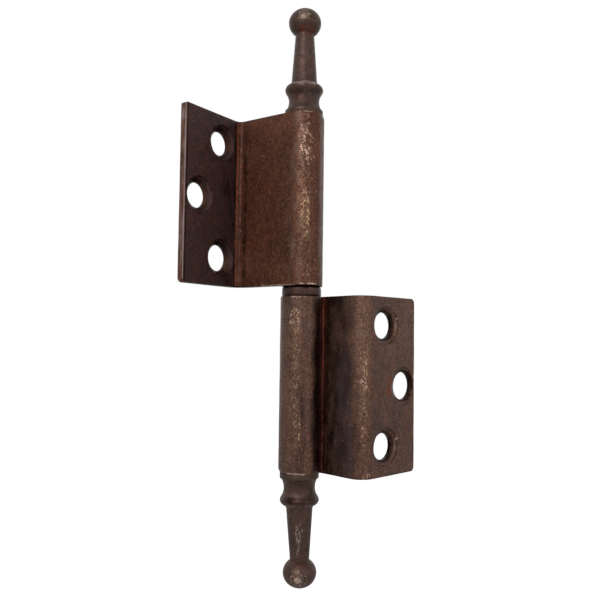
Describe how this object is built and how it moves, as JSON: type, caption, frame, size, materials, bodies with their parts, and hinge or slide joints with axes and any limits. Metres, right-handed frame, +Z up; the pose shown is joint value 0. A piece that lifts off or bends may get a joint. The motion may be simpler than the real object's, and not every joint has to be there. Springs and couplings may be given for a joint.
{
  "type": "cranked hinge",
  "caption": "Lift-off cranked hinge: sheet leaves rolled into barrels and bent to an L, with countersunk screw holes, ball finials, a pin and a bearing ring.",
  "frame": {"origin": "on the hinge axis, midway between the two barrels, at half the height of the bearing ring", "axes": "+Z up the hinge axis, from the lower, fixed leaf to the upper one, which lifts off; +X from the axis along the lower leaf's web, square to its screw plate; +Y along the lower leaf's screw plate to its free edge"},
  "size_m": [0.0324, 0.0468, 0.1338],
  "materials": {
    "leaf": "old patinated sheet steel, dark reddish brown, worn to bare metal along edges and on the barrels",
    "finial": "turned steel with a grey-brown patina, polished by handling",
    "ring": "turned steel, dark purplish brown",
    "pin": "plain drawn steel, worn bright"
  },
  "bodies": {
    "lower_half": {"lower_leaf": "leaf", "lower_finial": "finial", "hinge_pin": "pin"},
    "bearing_ring": {"bearing_ring": "ring"},
    "upper_half": {"upper_leaf": "leaf", "upper_finial": "finial"}
  },
  "joints": [
    {"name": "swing", "type": "hinge", "parent": "lower_half", "child": "bearing_ring", "pos_m": [0, 0, 0], "axis": [0, 0, 1], "continuous": true},
    {"name": "lift_off", "type": "slide", "parent": "bearing_ring", "child": "upper_half", "axis": [0, 0, 1], "range_m": [0, 0.03]}
  ]
}
